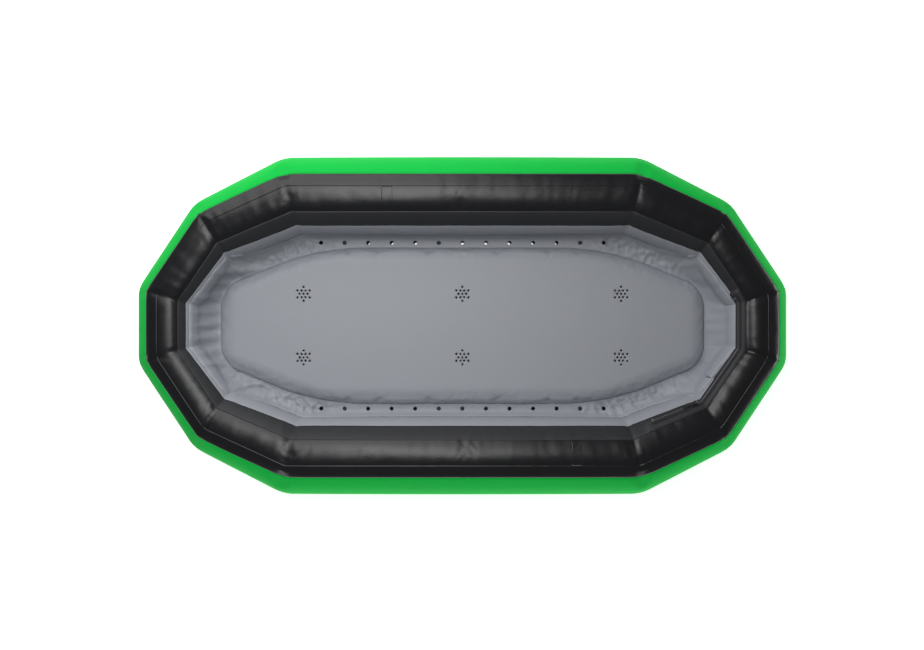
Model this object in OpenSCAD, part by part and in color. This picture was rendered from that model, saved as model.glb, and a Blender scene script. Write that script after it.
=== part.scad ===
// Open twelve-sided inflatable kayak: a ring tube of coated fabric over an air bladder,
// with a suspended drop-stitch mat, a self-bailing floor, two valves and an access zip.
// The origin is on the ground under the middle of the boat, +X runs along its length.

/* [Hull] */
// Length over all
hull_length = 2000; // [1960:10:2100]
// Width over all
hull_width = 1042; // [1020:2:1080]
// Tube diameter along the two long sides
side_tube_d = 244; // [236:2:250]
// Tube diameter at the knees, between the two slanting facets
knee_tube_d = 206; // [200:2:212]
// Tube diameter across the bow and the stern
end_tube_d = 190; // [184:2:196]
// Length of the straight side, along the tube's centreline
side_straight = 1046; // [1030:2:1060]
// Length of the straight bow or stern, along the tube's centreline
end_straight = 180; // [160:2:190]
// Knee corner of the centreline, distance from the middle along X
knee_x = 767; // [755:1:775]
// Knee corner of the centreline, distance from the middle along Y
knee_y = 292; // [285:1:300]
// How far the knee's mitre turns from halfway between its facets, in degrees
knee_mitre_turn = 7; // [0:0.5:9]

/* [Skins] */
// Thickness of the tube's coated fabric
skin_t = 1.2; // [1:0.1:1.6]
// Wall of the air bladder inside the tube
bladder_t = 1.6; // [1.2:0.1:2.4]
// Thickness of the seam tapes
tape_t = 0.7; // [0.5:0.1:1]
// Angle above horizontal where the outer panel meets the top panel
outer_seam_a = 61; // [56:1:64]
// Angle of the edge between the top panel and the grey inner panel
inner_seam_a = 142; // [138:1:146]

/* [Floor] */
// Length of the raised mat
mat_length = 1538; // [1500:2:1550]
// Width of the raised mat
mat_width = 500; // [480:2:506]
// Thickness of the mat
mat_t = 70; // [60:1:72]
// Height of the top of the mat above the ground
mat_top_z = 104; // [102:1:108]
// Diameter of a bail hole beside the mat
bail_hole_d = 12.5; // [11:0.5:14]
// Distance between bail holes
bail_pitch = 75; // [70:1:76]
// Number of bail holes in a row
bail_count = 13; // [11:2:13]
// Distance of each row of bail holes from the middle
bail_row_y = 264; // [262:1:267]
// Distance between drain clusters along the mat
drain_pitch_x = 500; // [480:5:505]
// Distance between the two rows of drain clusters
drain_pitch_y = 200; // [180:5:240]
// Diameter of one hole of a drain cluster
drain_hole_d = 6.5; // [5:0.5:7]

/* [Fittings] */
// Distance of the tube valve from the middle, towards the bow or stern
valve_x = 300; // [240:10:420]
// Angle of the tube valve below horizontal
valve_a = 40; // [38:1:42]
// Distance of the mat valve from the middle
mat_valve_x = 640; // [620:5:660]
// Travel of a valve's poppet
poppet_travel = 6; // [4:0.5:6]
// Inside radius of the tow loop
tow_loop_r = 12; // [10:0.5:12]

/* [Hidden] */
$fn = 48;
eps = 0.01;
gap = 0.3;          // clearance between neighbouring pieces
hull_t = 1.5;       // hull sheet and floor sheet
tube_lift = 2;      // the hull sheet lies under the tube
tube_z = side_tube_d / 2 + tube_lift;

green = [0.10, 0.72, 0.28];
black = [0.11, 0.11, 0.13];
grey = [0.60, 0.62, 0.65];
dark_grey = [0.28, 0.29, 0.31];
steel = [0.72, 0.73, 0.75];

// ---- Centreline of the tube: three corners in each quarter, mirrored to twelve ----
quarter = [[side_straight / 2, (hull_width - side_tube_d) / 2, side_tube_d / 2],
           [knee_x, knee_y, knee_tube_d / 2],
           [(hull_length - end_tube_d) / 2, end_straight / 2, end_tube_d / 2]];
// each corner holds x, y and the tube's radius, counterclockwise from the bow's port corner
corners = [for (q = [[1, 1, 1], [-1, 1, 0], [-1, -1, 1], [1, -1, 0]], k = [0:2])
    let (c = quarter[q[2] == 1 ? 2 - k : k]) [q[0] * c[0], q[1] * c[1], c[2]]];

function unit(v) = v / norm(v);
function xy(c) = [c[0], c[1]];
function turned(v) = [v[1], -v[0]];
function spun(v, a) = [v[0] * cos(a) - v[1] * sin(a), v[0] * sin(a) + v[1] * cos(a)];
// outward mitre vector at corner i, as long as the tube's half width there
function mitre(i) =
    let (a = turned(unit(xy(corners[i]) - xy(corners[(i + 11) % 12]))),
         b = turned(unit(xy(corners[(i + 1) % 12]) - xy(corners[i]))),
         knee = i % 3 == 1 ? sign(corners[i][0] * corners[i][1]) : 0,
         m = spun(unit(a + b), knee * knee_mitre_turn))
    m * corners[i][2] * 2 / (m * a + m * b);
// the same at any place s round the ring: whole numbers are corners
function corner_at(s) =
    let (i = floor(s) % 12, t = s - floor(s)) corners[i] * (1 - t) + corners[(i + 1) % 12] * t;
function mitre_at(s) =
    let (i = floor(s) % 12, t = s - floor(s)) mitre(i) * (1 - t) + mitre((i + 1) % 12) * t;
// a point of the tube's surface: place s, angle a above the outward horizontal, d proud
function tube_point(s, a, d = 0) =
    let (c = corner_at(s), u = mitre_at(s), k = (c[2] + d) / c[2])
    [c[0] + u[0] * k * cos(a), c[1] + u[1] * k * cos(a), tube_z + c[2] * k * sin(a)];

// A strip of the tube from angle a0 to a1 between depths d0 and d1, through the places list.
// closed joins the last place to the first; otherwise both ends are capped.
module strip(a0, a1, d0, d1, steps, places = [0:11], closed = true) {
    arc = [for (j = [0:steps]) a0 + (a1 - a0) * j / steps];
    sec = concat([for (a = arc) [a, d1]], [for (j = [steps:-1:0]) [arc[j], d0]]);
    rows = [for (s = places) [for (p = sec) tube_point(s, p[0], p[1])]];
    ring_solid(rows, closed);
}

// A closed solid through a list of rings that all have the same even number of points. Its
// end caps are quads between the two halves of a ring.
module ring_solid(rows, closed) {
    n = len(rows);
    m = len(rows[0]);
    last = closed ? n - 1 : n - 2;
    sides = [for (i = [0:last], j = [0:m - 1], half = [0, 1])
        let (a = i * m + j, b = i * m + (j + 1) % m,
             c = ((i + 1) % n) * m + (j + 1) % m, d = ((i + 1) % n) * m + j)
        half == 0 ? [a, b, c] : [a, c, d]];
    far = (n - 1) * m;
    caps = closed ? [] : [for (j = [0:m / 2 - 2], cap = [0, 1])
        cap == 0 ? [m - 1 - j, m - 2 - j, j + 1, j]
                 : [far + j, far + j + 1, far + m - 2 - j, far + m - 1 - j]];
    polyhedron([for (r = rows) each r], concat(sides, caps));
}

// ---- Tube panels and tapes ----
// The angles where the four panels meet
bottom_seam_a = -62;
floor_seam_a = 204;
seam_gap_a = 0.15;

// Each panel is twelve cut pieces, one to a facet, that meet at the mitre welds.
function facet_length(i) = norm(xy(corners[(i + 1) % 12]) - xy(corners[i]));
module facet_pieces(a0, a1, steps, facets = [0:11]) {
    for (i = facets) {
        w = 0.15 / facet_length(i);
        strip(a0 + seam_gap_a, a1 - seam_gap_a, -skin_t, 0, steps, [i + w, i + 1 - w], false);
    }
}
// the side facet that holds the tube valve, and the ends of the valve panel let into it
valve_facet = 2;
valve_place = valve_facet + 0.5 + valve_x / side_straight;
valve_panel_places = [valve_place - 0.06, valve_place + 0.06];

module side_strip(places)
    strip(bottom_seam_a + seam_gap_a, outer_seam_a - seam_gap_a, -skin_t, 0, 18, places, false);
module outer_panel() color(green) {
    facet_pieces(bottom_seam_a, outer_seam_a, 18, [0, 1, 3, 4, 5, 6, 7, 8, 9, 10, 11]);
    side_strip([valve_facet + 0.0002, valve_panel_places[0] - 0.0002]);
    side_strip([valve_panel_places[1] + 0.0002, valve_facet + 1 - 0.0002]);
}
module valve_panel() color(green) difference() {
    side_strip(valve_panel_places);
    tube_valve_frame() flange_hole();
}
module top_panel() color(black) facet_pieces(outer_seam_a, inner_seam_a, 9);
module inner_panel() color(grey) facet_pieces(inner_seam_a, floor_seam_a, 8);
module bottom_panel() color(dark_grey) facet_pieces(floor_seam_a, 360 + bottom_seam_a, 10);

module tape(a0, a1, steps = 3) strip(a0, a1, 0.2, 0.2 + tape_t, steps);

module outer_top_tape() color(black) tape(outer_seam_a, 81, 6);
module inner_top_tape() color(black) tape(120, inner_seam_a, 6);
module outer_bottom_tape() color(green) tape(bottom_seam_a - 4, bottom_seam_a + 4, 2);
module floor_tape() color(grey) tape(floor_seam_a + 1.5, floor_seam_a + 10, 2);
module hull_tape() color(dark_grey) tape(-74, -68, 2);

// Laps where the ends of the top panel meet, one on each side tube
lap_w = 26;
module lap(side, x) {
    // place on the side facet, whose corners are 2 and 3 to port, 8 and 9 to starboard
    s = side > 0 ? 2 + (side_straight / 2 - x) / side_straight
                 : 8 + (side_straight / 2 + x) / side_straight;
    w = lap_w / side_straight / 2;
    strip(82, 119, 0.2, 0.2 + tape_t, 9, [s - w, s + w], false);
}
module port_lap_seam() color(black) lap(1, -226);
module starboard_lap_seam() color(black) lap(-1, 343);

// The bladder is one long tube whose two ends butt together beside the zip
bladder_gap = 0.5;
module bladder_solid(inset, trim) {
    rows = [for (s = concat([10.51 + trim], [for (k = [11:22]) k], [22.49 - trim]))
        [for (j = [0:31]) tube_point(s, j * 360 / 32, -inset)]];
    ring_solid(rows, false);
}
module air_bladder() color("white") difference() {
    bladder_solid(skin_t + bladder_gap, 0);
    bladder_solid(skin_t + bladder_gap + bladder_t, 0.012);
    tube_valve_frame() flange_hole();
}

// ---- Floor ----
flange_z = mat_top_z - mat_t / 2;   // the weld round the mat, where the floor sheet joins
mat_shoulder = 35;
// outline of the mat in one quarter: a wide bend off the side and a tight one at the end
mat_bend = [mat_length * 0.296, mat_width / 2];
mat_end = [mat_length / 2, mat_width * 0.225];
mat_turn = 22;

function mat_quarter() =
    let (wide = 260, tight = 45,
         side = [for (k = [0:4]) [mat_bend[0] - wide * tan(mat_turn / 2), mat_bend[1] - wide]
             + wide * [sin(mat_turn * k / 4), cos(mat_turn * k / 4)]],
         back = 90 - mat_turn,
         end = [for (k = [0:4]) [mat_end[0] - tight, mat_end[1] - tight * tan(back / 2)]
             + tight * [sin(mat_turn + back * k / 4), cos(mat_turn + back * k / 4)]])
    concat(side, end);
mat_q = mat_quarter();
mat_outline = concat(
    [for (p = mat_q) p],
    [for (k = [len(mat_q) - 1:-1:0]) [mat_q[k][0], -mat_q[k][1]]],
    [for (p = mat_q) [-p[0], -p[1]]],
    [for (k = [len(mat_q) - 1:-1:0]) [-mat_q[k][0], mat_q[k][1]]]);

// the outline moved inwards by d along its corner normals, at height z
function mat_ring(d, z) =
    let (n = len(mat_outline))
    [for (i = [0:n - 1])
        let (p = mat_outline[i],
             a = unit(p - mat_outline[(i + n - 1) % n]),
             b = unit(mat_outline[(i + 1) % n] - p),
             m = turned(a) + turned(b))
        [p[0] + m[0] * d / (m * turned(a)), p[1] + m[1] * d / (m * turned(a)), z]];

// half of the mat as a solid with rounded shoulders; up is 1 for the top half, -1 for the lower
module mat_half(up, inset, start) {
    r = mat_shoulder - inset;
    rows = concat([mat_ring(inset, flange_z + up * start)],
        [for (k = [1:6]) mat_ring(inset + r * (1 - cos(k * 15)), flange_z + up * r * sin(k * 15))]);
    ordered = up > 0 ? rows : [for (k = [len(rows) - 1:-1:0]) rows[k]];
    ring_solid(ordered, false);
}
module mat_shell(up) difference() {
    mat_half(up, 0, gap);
    mat_half(up, skin_t, -1);
}

module drain_places() for (i = [-1:1], j = [-1, 1])
    translate([i * drain_pitch_x, j * drain_pitch_y / 2, 0]) children();
function drain_place(k) =
    [((k - 1) % 3 - 1) * drain_pitch_x, (k <= 3 ? 1 : -1) * drain_pitch_y / 2, 0];

// thirteen holes: one in the middle, six close round it and six further out
module drain_cluster(h) {
    cylinder(d = drain_hole_d, h = h, center = true);
    for (k = [0:5]) {
        rotate(60 * k) translate([12, 0, 0]) cylinder(d = drain_hole_d, h = h, center = true);
        rotate(60 * k + 30) translate([22, 0, 0]) cylinder(d = drain_hole_d, h = h, center = true);
    }
}
drain_port_d = 30;

module mat_top_skin() color(grey) difference() {
    mat_shell(1);
    translate([0, 0, mat_top_z]) drain_places() drain_cluster(10);
}

module mat_bottom_skin() color(dark_grey) difference() {
    mat_shell(-1);
    translate([0, 0, mat_top_z - mat_t]) drain_places() cylinder(d = drain_port_d, h = 10, center = true);
    mat_valve_frame() flange_hole();
}

// threads that hold the mat flat, drawn as a coarse grid of the many thousands
module mat_threads() color("white")
    for (x = [-700:100:700], y = [-160:80:160])
        if (norm([x + mat_valve_x, y]) > 45 && abs(y) <= 160 - max(0, abs(x) - 450) * 0.4
            && min([for (k = [1:6]) norm([x, y] - xy(drain_place(k)))]) > 36)
            translate([x, y, mat_top_z - mat_t + skin_t + 0.2])
                cylinder(d = 1.6, h = mat_t - 2 * skin_t - 0.4, $fn = 16);

// welded sleeve that carries water down through the mat without letting its air out
module drain_sleeve(k) color(grey) translate(drain_place(k)) translate([0, 0, mat_top_z - mat_t / 2])
    difference() {
        cylinder(d = 58, h = mat_t - 2 * skin_t - 0.4, center = true);
        cylinder(d = 58 - 2 * skin_t, h = mat_t, center = true);
    }

bail_places = [for (side = [1, -1], k = [1:bail_count])
    [(k - (bail_count + 1) / 2) * bail_pitch, side * bail_row_y]];
// seven bail holes hold plugs: the second, sixth and last but one to port, and to
// starboard the same three and the middle one
plugged = [2, 6, 12, 15, 19, 20, 25];

// the tube's inner wall at the height of the floor sheet, as a twelve-sided outline
function wall_outline(z, clear) = [for (i = [0:11])
    let (c = corners[i], k = sqrt(pow(c[2], 2) - pow(tube_z - z, 2)) / c[2], u = mitre(i))
    xy(c) - u * k - unit(u) * clear];

module floor_sheet() color(grey) translate([0, 0, flange_z - hull_t / 2]) difference() {
    linear_extrude(hull_t) polygon(wall_outline(flange_z, 2.2));
    translate([0, 0, -eps]) linear_extrude(hull_t + 2 * eps)
        polygon([for (p = mat_ring(-gap, 0)) xy(p)]);
    for (p = bail_places) translate([p[0], p[1], -eps]) cylinder(d = bail_hole_d, h = hull_t + 2 * eps);
}

// The hull sheet is flat between the side corners and rises a little to bow and stern
mat_valve_access_d = 110;
module hull_sheet() color(dark_grey) difference() {
    edge = [for (i = [0:11]) let (c = corners[i], u = mitre(i))
        [c[0] + u[0] / 4, c[1] + u[1] / 4, side_tube_d / 2 - c[2]]];
    // stations along X, each a port and a starboard corner
    pairs = [[0, 11], [1, 10], [2, 9], [3, 8], [4, 7], [5, 6]];
    rows = [for (p = pairs) let (a = edge[p[0]], b = edge[p[1]])
        [b, a, a + [0, 0, hull_t], b + [0, 0, hull_t]]];
    ring_solid(rows, false);
    for (p = bail_places) translate([p[0], p[1], -1]) cylinder(d = bail_hole_d, h = 5);
    drain_places() translate([0, 0, -1]) cylinder(d = drain_port_d, h = 5);
    translate([-mat_valve_x, 0, -1]) cylinder(d = mat_valve_access_d, h = 40);
}

// rubber plug in a bail hole: a shank in the hole and a low head on the sheet
module bail_plug(k) color(black)
    translate([bail_places[plugged[k - 1] - 1][0], bail_places[plugged[k - 1] - 1][1], flange_z])
    rotate_extrude() polygon([[0, -9], [4.6, -9], [bail_hole_d / 2 - 0.2, -4], [bail_hole_d / 2 - 0.2, 1.05],
        [bail_hole_d / 2 + 0.5, 1.05], [bail_hole_d / 2 + 0.2, 1.7], [0, 2.3]]);

// ---- Access zip, round the inner edge of the top panel at the stern's starboard quarter ----
zip_a = 132.5;        // angle of the teeth
zip_half_a = 5;       // half width of both tapes, as an angle
zip_d = 0.2 + tape_t + 0.2;
// the zip runs from the stern facet, past two corners, along the first slanting facet
zip_places = [9.3, 10, 11, 12, 12.1];
slider_place = 9.9;

module zip_tape_upper() color(black)
    strip(zip_a - zip_half_a, zip_a - 0.9, zip_d, zip_d + 0.9, 2, zip_places, false);
module zip_tape_lower() color(black)
    strip(zip_a + 0.9, zip_a + zip_half_a, zip_d, zip_d + 0.9, 2, zip_places, false);
module zip_teeth() color(dark_grey)
    strip(zip_a - 0.7, zip_a + 0.7, zip_d, zip_d + 1.6, 1, zip_places, false);

// frame on the tube's surface at place s and angle a: X along the tube, Z straight out
module on_tube(s, a, d = 0) {
    p = tube_point(s, a, d);
    far = floor(s) + 0.999;
    near = floor(s) + 0.001;
    x = unit(tube_point(far, a) - tube_point(near, a));
    z0 = unit(tube_point(s, a, 10) - tube_point(s, a, 0));
    z = unit(z0 - x * (x * z0));
    y = cross(z, x);
    multmatrix([[x[0], y[0], z[0], p[0]], [x[1], y[1], z[1], p[1]], [x[2], y[2], z[2], p[2]]])
        children();
}
module zip_stop(s) color(dark_grey) on_tube(s, zip_a, zip_d + 2) translate([-3, -6, 0]) cube([6, 12, 2]);
module zip_stop_end() zip_stop(12.08);
module zip_stop_side() zip_stop(9.32);

// slider: a body over the teeth with a bridge that carries the pull's pin
module zip_slider() color(steel) on_tube(slider_place, zip_a, zip_d + 2) {
    difference() {
        translate([-10, -6, 0]) cube([20, 12, 4.5]);
        translate([0, 0, 2.6]) for (j = [-1, 1]) translate([-11, j * 7.2 - 2, -1]) cube([22, 4, 1.4]);
    }
    for (j = [-1, 1]) translate([0, j * 4.5 - 0.75, 4.5 - eps]) cube([6, 1.5, 4.5 + eps]);
    translate([3, 0, 7.2]) rotate([90, 0, 0]) cylinder(r = 1, h = 9, center = true, $fn = 24);
}
module zip_pull() color(black) on_tube(slider_place, zip_a, zip_d + 2) translate([3, 0, 7.2])
    difference() {
        union() {
            rotate([90, 0, 0]) cylinder(r = 2.1, h = 7, center = true, $fn = 24);
            translate([-42, -3.5, -0.9]) cube([42, 7, 1.8]);
        }
        rotate([90, 0, 0]) cylinder(r = 1.08, h = 10, center = true, $fn = 24);
        translate([-37, 0, -2]) cylinder(r = 1.8, h = 4, $fn = 24);
    }

// ---- Tow loop under the -X end ----
tow_a = 40;
tow_w = 12;
tow_out = end_tube_d / 2 + 11;
module at_tow() translate([-(hull_length - end_tube_d) / 2, 0, tube_z]) rotate([90, 0, 0]) children();
module tow_patch() color(green)
    strip(-tow_a - 16, -tow_a + 16, 0.2, 1.2, 5, [5.34, 5.66], false);
module tow_loop() color(black) at_tow() difference() {
    rotate(180 + tow_a) translate([tow_out, 0, 0]) difference() {
        cylinder(r = tow_loop_r + 2, h = tow_w, center = true);
        cylinder(r = tow_loop_r, h = tow_w + 1, center = true);
    }
    cylinder(r = end_tube_d / 2 + 1.5, h = tow_w + 1, center = true, $fn = 96);
}

// ---- Valves: Z points out of the fabric, zero is its outer face ----
flange_r = 34;
valve_body_r = 16.8;
valve_bore_r = 13;
valve_deep = 30;        // the body's lower end, below the fabric
bridge_z = -21;         // top of the bridge that guides the poppet
valve_seat_z = -7.6;    // shoulder that stops a pump's nozzle
poppet_head_z = bridge_z + 4 + poppet_travel;   // 4 is the pressed spring
module flange_hole() translate([0, 0, -12]) cylinder(r = flange_r + gap, h = 30);
module tube_valve_frame() translate([-valve_x, (hull_width - side_tube_d) / 2, tube_z])
    rotate([-90 - valve_a, 0, 0]) translate([0, 0, side_tube_d / 2]) children();
module mat_valve_frame() translate([-mat_valve_x, 0, mat_top_z - mat_t]) rotate([180, 0, 0]) children();
module valve_frame(v) {
    if (v == "tube") tube_valve_frame() children();
    if (v == "mat") mat_valve_frame() children();
}

module valve_flange(v) color(dark_grey) valve_frame(v) difference() {
    translate([0, 0, -5]) cylinder(r = flange_r, h = 6.2);
    translate([0, 0, -6]) cylinder(r = valve_body_r + 0.1, h = 10);
}
module valve_body(v) color(black) valve_frame(v) difference() {
    translate([0, 0, -valve_deep]) cylinder(r = valve_body_r, h = valve_deep + 3);
    translate([0, 0, valve_seat_z]) cylinder(r = valve_bore_r, h = 20);
    translate([0, 0, bridge_z]) cylinder(r = valve_bore_r - 1, h = 20);
    translate([0, 0, -valve_deep - 1]) cylinder(r = 11, h = 7);
    translate([0, 0, -valve_deep + 4]) cylinder(r = 3.2, h = 10);
    for (k = [0:3]) rotate(90 * k) translate([7.2, 0, -valve_deep + 4]) cylinder(r = 2.8, h = 10);
}
module valve_poppet(v) color(green) valve_frame(v) rotate_extrude()
    polygon([[0, -valve_deep - 2.6], [13, -valve_deep - 2.6], [13, -valve_deep - 0.4],
        [3, -valve_deep - 0.4], [3, poppet_head_z], [6, poppet_head_z + 0.5],
        [6, poppet_head_z + 2.4], [0, poppet_head_z + 2.8]]);
// the spring is drawn at its pressed length, on the bridge under the poppet's head
module valve_spring(v) color(steel) valve_frame(v) {
    turns = 2;
    rows = [for (k = [0:turns * 14]) let (a = k * 360 / 14, h = bridge_z + 0.7 + 2.6 * k / (turns * 14))
        [for (j = [0:5]) let (r = 4.6 + 0.45 * cos(60 * j))
            [r * cos(a), r * sin(a), h + 0.45 * sin(60 * j)]]];
    ring_solid(rows, false);
}
module valve_seal(v) color(black) valve_frame(v) translate([0, 0, 4])
    rotate_extrude() translate([15, 0]) circle(r = 1);
module valve_tether(v) color(black) valve_frame(v) {
    difference() {
        union() {
            translate([0, 0, 1.4]) cylinder(r = 20.4, h = 1);
            translate([18, -3, 1.4]) cube([6, 6, 1]);
            translate([22, -3, 1.4]) cube([1.2, 6, 4.6]);
        }
        cylinder(r = valve_body_r + 0.2, h = 6);
    }
}
// a lid whose rim stands round the seal, with a bar across it to turn it by
module valve_cap(v) color(black) valve_frame(v) {
    difference() {
        translate([0, 0, 5.4]) cylinder(r = 19, h = 3);
        for (k = [0:23]) rotate(15 * k) translate([19.6, 0, 5]) cylinder(r = 1.1, h = 4, $fn = 16);
    }
    translate([0, 0, 3.1]) difference() {
        cylinder(r = 18.3, h = 2.3 + eps);
        translate([0, 0, -1]) cylinder(r = 17.1, h = 5);
    }
    translate([-12, -2.2, 8.4 - eps]) cube([24, 4.4, 3]);
}

outer_panel();
valve_panel();
top_panel();
inner_panel();
bottom_panel();
outer_top_tape();
inner_top_tape();
outer_bottom_tape();
floor_tape();
hull_tape();
port_lap_seam();
starboard_lap_seam();
air_bladder();
floor_sheet();
hull_sheet();
mat_top_skin();
mat_bottom_skin();
mat_threads();
for (k = [1:6]) drain_sleeve(k);
zip_tape_upper();
zip_tape_lower();
zip_teeth();
zip_stop_end();
zip_stop_side();
zip_slider();
zip_pull();
tow_patch();
tow_loop();
for (v = ["tube", "mat"]) {
    valve_flange(v);
    valve_body(v);
    valve_poppet(v);
    valve_spring(v);
    valve_seal(v);
    valve_tether(v);
    valve_cap(v);
}
for (k = [1:7]) bail_plug(k);
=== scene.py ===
from math import cos, degrees, pi, radians, sin, tan

import bmesh
import bpy
import numpy as np
from mathutils import Matrix, Vector, kdtree, noise


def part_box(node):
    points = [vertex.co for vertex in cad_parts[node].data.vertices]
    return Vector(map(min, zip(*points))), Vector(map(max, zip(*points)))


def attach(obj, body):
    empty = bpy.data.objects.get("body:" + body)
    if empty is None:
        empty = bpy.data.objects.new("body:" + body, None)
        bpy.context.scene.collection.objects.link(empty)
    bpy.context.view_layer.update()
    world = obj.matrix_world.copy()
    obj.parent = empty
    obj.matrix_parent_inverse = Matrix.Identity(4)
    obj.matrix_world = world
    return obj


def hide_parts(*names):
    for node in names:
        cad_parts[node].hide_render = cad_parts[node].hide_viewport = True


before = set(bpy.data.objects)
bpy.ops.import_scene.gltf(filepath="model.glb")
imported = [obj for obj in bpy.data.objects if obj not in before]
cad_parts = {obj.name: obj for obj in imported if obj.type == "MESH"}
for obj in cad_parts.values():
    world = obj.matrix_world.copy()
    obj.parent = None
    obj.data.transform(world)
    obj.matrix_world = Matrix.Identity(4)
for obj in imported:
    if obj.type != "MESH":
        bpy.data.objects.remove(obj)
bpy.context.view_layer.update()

# ---------------------------------------------------------------------------------------------
# Camera. It hangs straight above the middle of the boat and looks down, with the port side
# towards the top of the frame.
camera = bpy.data.objects.new("camera", bpy.data.cameras.new("camera"))
camera.data.sensor_width = 36
camera.data.lens = 35.06
camera.location = (-0.00125, 0.0022, 2.936)
bpy.context.scene.collection.objects.link(camera)
bpy.context.scene.camera = camera
bpy.context.scene.view_settings.view_transform = "Standard"


# ---------------------------------------------------------------------------------------------
# Studio. The boat lies on a plain white floor that glows a little, so the ground round it stays
# pale; under the boat's closed middle the glow is cut to near black, as painted shade. A wide softbox
# hangs on the port side and a smaller one overhead. Two low strips light the starboard side and the bow.
class Link:
    """A shader socket that can be used in sums, which add their own Math nodes."""

    def __init__(self, socket):
        self.socket = socket

    def maths(self, operation, *terms):
        tree = self.socket.id_data
        node = tree.nodes.new("ShaderNodeMath")
        node.operation = operation
        for place, term in zip(node.inputs, terms):
            if isinstance(term, Link):
                tree.links.new(term.socket, place)
            else:
                place.default_value = term
        return Link(node.outputs[0])

    def __add__(self, other):
        return self.maths("ADD", self, other)

    def __mul__(self, other):
        return self.maths("MULTIPLY", self, other)

    def __sub__(self, other):
        return self.maths("SUBTRACT", self, other)

    def sine(self):
        return self.maths("SINE", self)

    def size(self):
        return self.maths("ABSOLUTE", self)


class Finish:
    """One material: its shader, and the nodes that feed it."""

    def __init__(self, name):
        self.material = bpy.data.materials.new(name)
        self.material.use_nodes = True
        self.tree = self.material.node_tree
        self.shader = self.tree.nodes["Principled BSDF"]

    def node(self, kind, settings=None, sockets=None, output=0):
        node = self.tree.nodes.new("ShaderNode" + kind)
        for name, value in (settings or {}).items():
            if name == "stops":
                ramp = node.color_ramp
                for k, (position, colour) in enumerate(value):
                    stop = ramp.elements[k] if k < len(ramp.elements) else ramp.elements.new(position)
                    stop.position = position
                    stop.color = colour
            else:
                setattr(node, name, value)
        for key, value in (sockets or {}).items():
            if isinstance(value, Link):
                self.tree.links.new(value.socket, node.inputs[key])
            else:
                node.inputs[key].default_value = value
        return Link(node.outputs[output])

    def coordinates(self):
        return self.node("TexCoord", output="Object")

    def mixed(self, factor, a, b):
        """Colour a where factor is 0, colour b where it is 1."""
        return self.node("Mix", {"data_type": "RGBA"}, {0: factor, 6: a, 7: b}, 2)

    def set(self, **sockets):
        for name, value in sockets.items():
            place = self.shader.inputs[name.replace("_", " ").title().replace("Ior", "IOR")]
            if isinstance(value, Link):
                self.tree.links.new(value.socket, place)
            else:
                place.default_value = value
        return self.material

    def bump(self, height, strength, distance, under=None):
        sockets = {"Height": height, "Strength": strength, "Distance": distance}
        if under is not None:
            sockets["Normal"] = under
        return self.node("Bump", {}, sockets)


def piece_from(name, shape, material, smooth=True):
    """An object at the origin from a finished bmesh."""
    mesh = bpy.data.meshes.new(name)
    shape.to_mesh(mesh)
    shape.free()
    mesh.materials.append(material)
    for face in mesh.polygons:
        face.use_smooth = smooth
    piece = bpy.data.objects.new(name, mesh)
    bpy.context.scene.collection.objects.link(piece)
    return piece


floor_paint = Finish("studio_floor")
floor_grain = floor_paint.node("TexNoise", {}, {"Vector": floor_paint.coordinates(), "Scale": 3.0})
# painted shade: the pale floor glows a little all round the boat, but in a rectangle under its closed middle
# the glow is cut to near black, standing in for the boat's shadow there
shade_patch_half_x, shade_patch_half_y, shade_patch_centre_y = 0.75, 0.26, -0.06
floor_parts = floor_paint.tree.nodes.new("ShaderNodeSeparateXYZ")
floor_paint.tree.links.new(floor_paint.coordinates().socket, floor_parts.inputs[0])
under_x = Link(floor_parts.outputs[0]).size()
under_y = (Link(floor_parts.outputs[1]) - shade_patch_centre_y).size()
painted_shade_under_boat = (under_x.maths("LESS_THAN", under_x, shade_patch_half_x)
              * under_y.maths("LESS_THAN", under_y, shade_patch_half_y))
# the emission is near black inside the rectangle under the boat: painted shade
floor_paint.set(base_color=floor_paint.mixed(floor_grain, (0.88, 0.88, 0.88, 1), (0.9, 0.9, 0.9, 1)),
                roughness=0.9, emission_strength=0.8,
                emission_color=floor_paint.mixed(painted_shade_under_boat, (1, 1, 1, 1), (0.01, 0.01, 0.01, 1)))
floor_shape = bmesh.new()
bmesh.ops.create_grid(floor_shape, x_segments=1, y_segments=1, size=9.0)
floor = piece_from("studio_floor", floor_shape, floor_paint.material)


def softbox(name, place, aim, width, depth, glow):
    """An area light at place, turned to aim. glow is its brightness per unit of its face."""
    light = bpy.data.lights.new(name, "AREA")
    light.shape = "RECTANGLE"
    light.size, light.size_y = width, depth
    light.energy = glow * pi * width * depth
    box = bpy.data.objects.new(name, light)
    box.location = place
    box.rotation_euler = (Vector(aim) - Vector(place)).to_track_quat("-Z", "Y").to_euler()
    box.visible_camera = False
    bpy.context.scene.collection.objects.link(box)


softbox("port_softbox", (-0.85, 1.40, 1.35), (-0.35, 0.0, 0.1), 2.0, 1.9, 1.9)
softbox("overhead_softbox", (-0.32, 0.46, 2.4), (-0.25, 0, 0), 1.0, 1.3, 4.6)
softbox("starboard_low_softbox", (0.0, -2.6, 0.19), (0, -0.4, 0.1), 4.0, 0.32, 5.6)
softbox("bow_low_softbox", (2.9, 0.0, 0.19), (0.9, 0, 0.1), 2.6, 0.32, 7.0)
world = bpy.data.worlds.new("studio")
world.use_nodes = True
world.node_tree.nodes["Background"].inputs[0].default_value = (1, 1, 1, 1)
world.node_tree.nodes["Background"].inputs[1].default_value = 0.13
bpy.context.scene.world = world

# ---------------------------------------------------------------------------------------------
# Coated fabric. Every skin of the boat is a polyester weave with a PVC coat on both faces. The
# coat half hides the weave, takes on faint blotches and scuffs, and shines where it is black.
thread_pitch = 0.0021


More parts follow.
